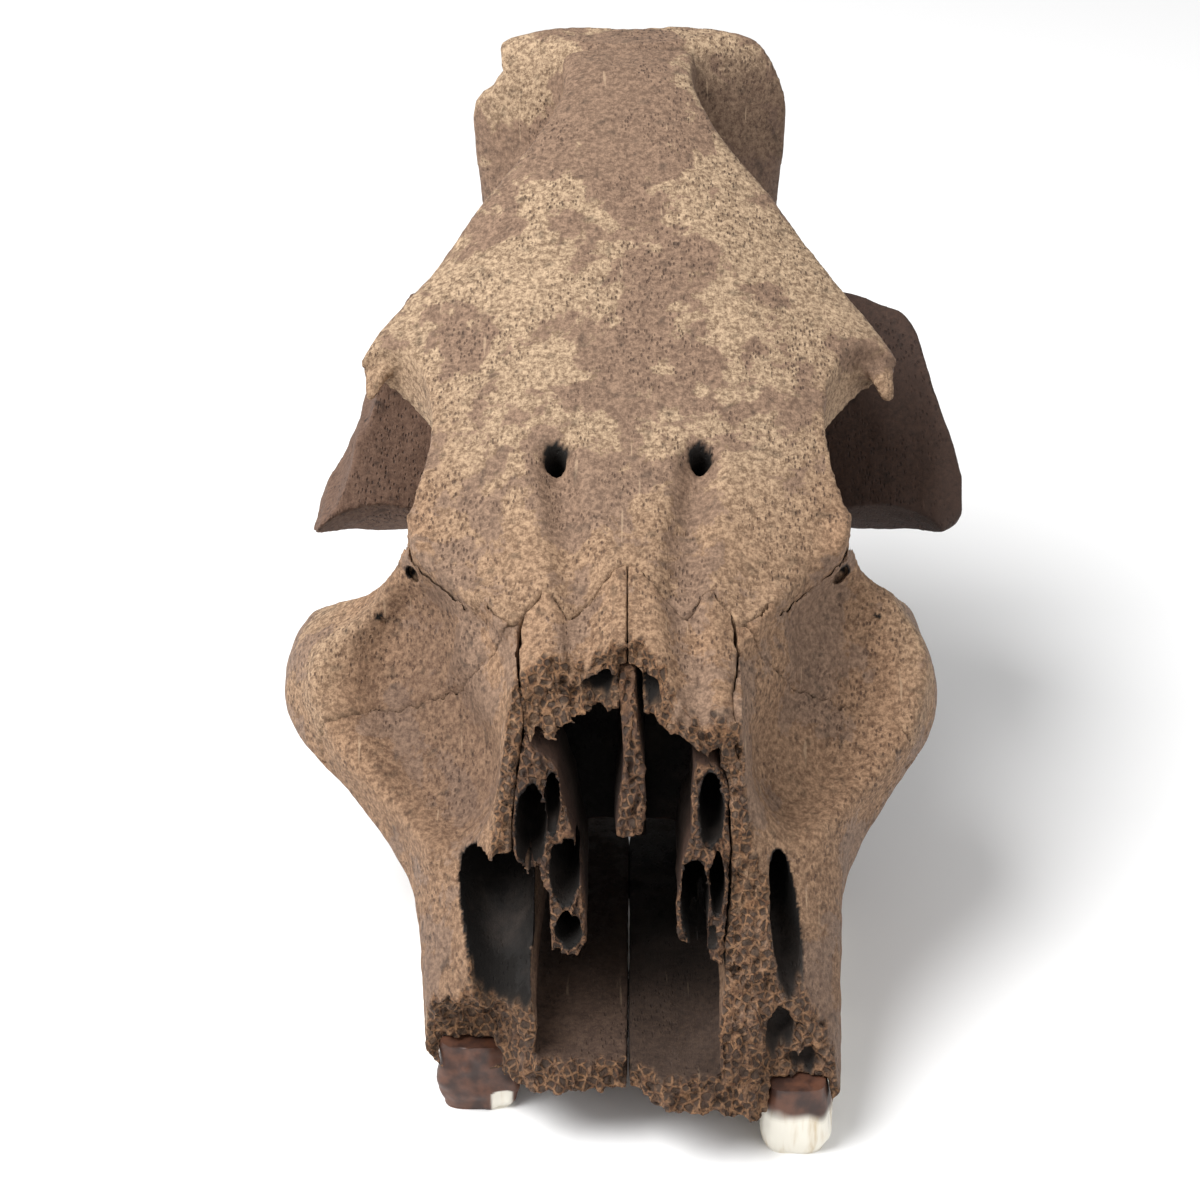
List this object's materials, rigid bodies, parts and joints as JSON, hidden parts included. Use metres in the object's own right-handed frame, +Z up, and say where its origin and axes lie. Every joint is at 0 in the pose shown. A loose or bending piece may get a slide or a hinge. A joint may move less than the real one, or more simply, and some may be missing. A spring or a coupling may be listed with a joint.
{
  "type": "boar skull",
  "caption": "Weathered wild boar skull, jawless, with its snout and both cheek arches broken off, resting upright on its cheek teeth.",
  "frame": {"origin": "middle of the skull's footprint, on the surface it rests on", "axes": "+Y from the broken snout to the nape, +X to the animal's left, +Z up"},
  "size_m": [0.1534, 0.2346, 0.162],
  "materials": {
    "bone": "dry weathered bone, matt and finely pitted",
    "dark_bone": "soil-stained brown bone, matt",
    "enamel": "worn tooth enamel, slightly glossy"
  },
  "bodies": {
    "root": {"premolar_4_left": "enamel", "molar_1_left": "enamel", "molar_2_left": "enamel", "molar_3_left": "enamel", "molar_1_right": "enamel", "molar_2_right": "enamel", "molar_3_right": "enamel", "tympanic_left": "dark_bone", "tympanic_right": "dark_bone", "nasal_septum": "dark_bone", "concha_left": "dark_bone", "concha_right": "dark_bone", "nasal_left": "bone", "nasal_right": "bone", "temporal_left": "dark_bone", "temporal_right": "dark_bone", "occipital": "bone", "frontal": "bone", "parietal": "bone", "zygomatic_left": "bone", "zygomatic_right": "bone", "lacrimal_left": "bone", "lacrimal_right": "bone", "ethmoid": "dark_bone", "sphenoid": "dark_bone", "palatine_left": "dark_bone", "palatine_right": "dark_bone", "maxilla_left": "bone", "maxilla_right": "bone"}
  },
  "joints": []
}
